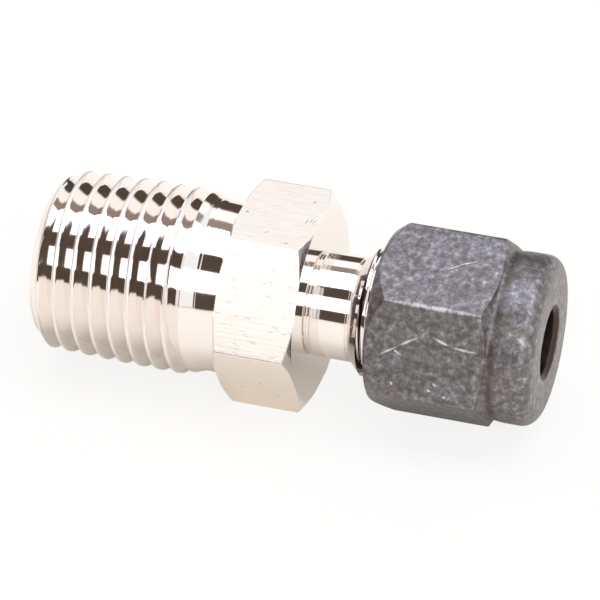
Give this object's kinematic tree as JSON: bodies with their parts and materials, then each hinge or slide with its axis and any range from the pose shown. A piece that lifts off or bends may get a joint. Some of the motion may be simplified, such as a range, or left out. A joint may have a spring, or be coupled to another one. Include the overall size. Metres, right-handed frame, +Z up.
{
  "type": "male connector tube fitting",
  "caption": "Straight male connector: tapered pipe thread, wrench hexagon and a compression nut for small tube.",
  "frame": {"origin": "centre of the pipe-thread end face, on the axis of the bore", "axes": "+X along the bore from the pipe-thread end to the nut, +Z up with a flat of the body hexagon underneath"},
  "size_m": [0.0377, 0.0166, 0.0142],
  "materials": {
    "stainless_body": "bright turned stainless steel, drawn satin flats",
    "stainless_ferrule": "fine turned stainless steel",
    "coated_nut": "stainless steel under a dull dark grey dry-film coating, scuffed"
  },
  "bodies": {
    "fitting_body": {"body": "stainless_body"},
    "ferrule_carrier": {"ferrule": "stainless_ferrule"},
    "nut": {"compression_nut": "coated_nut"}
  },
  "joints": [
    {"name": "nut_travel", "type": "slide", "parent": "fitting_body", "child": "ferrule_carrier", "axis": [1, 0, 0], "range_m": [0, 0.00508]},
    {"name": "nut_turn", "type": "hinge", "parent": "ferrule_carrier", "child": "nut", "pos_m": [0.0315, 0, 0], "axis": [1, 0, 0], "range_deg": [0, 1440]}
  ],
  "couplings": [
    {"joint": "nut_turn", "follows": "nut_travel", "rad_per_m": 4947.4}
  ]
}
